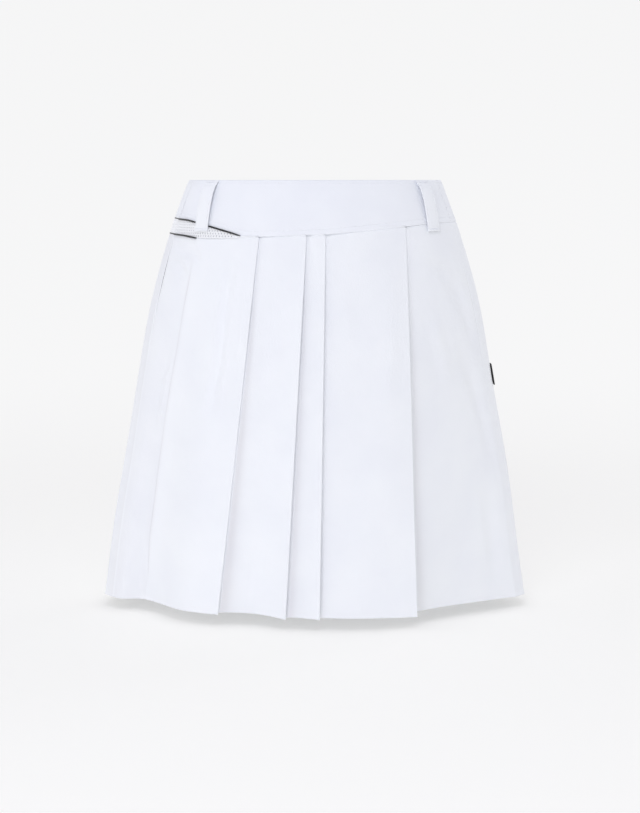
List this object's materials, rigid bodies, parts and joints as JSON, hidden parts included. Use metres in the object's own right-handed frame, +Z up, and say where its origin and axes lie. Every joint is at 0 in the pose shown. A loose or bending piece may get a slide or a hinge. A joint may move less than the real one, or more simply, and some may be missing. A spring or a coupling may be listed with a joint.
{
  "type": "pleated golf skirt",
  "caption": "White flared golf skirt with knife pleats, a shaped waistband with belt loops and a mesh tape wedge, filled out and hollow.",
  "frame": {"origin": "centre of the waist opening, level with the waistband's top edge, where the wearer's waist holds it", "axes": "+Z up along the wearer, the front of the skirt faces -Y, +X to the onlooker's right"},
  "size_m": [0.4086, 0.2671, 0.4],
  "materials": {
    "skirt_cloth": "bright white fine stretch twill, matte",
    "waistband": "bright white fine stretch twill, doubled and stiffened, matte",
    "belt_loops": "bright white fine stretch twill, folded strip",
    "mesh_tape": "white knitted mesh with small staggered holes",
    "piping": "black smooth piping, slight sheen",
    "badge": "black soft matte badge, blank"
  },
  "bodies": {
    "root": {"waistband_front": "waistband", "waistband_back": "waistband", "skirt_front": "skirt_cloth", "skirt_back": "skirt_cloth", "mesh_tape_front": "mesh_tape", "mesh_tape_back": "mesh_tape", "piping_upper_front": "piping", "piping_upper_back": "piping", "piping_lower_front": "piping", "piping_lower_back": "piping", "belt_loop_front_left": "belt_loops", "belt_loop_front_right": "belt_loops", "belt_loop_back_left": "belt_loops", "belt_loop_back_right": "belt_loops", "side_badge": "badge"}
  },
  "joints": []
}
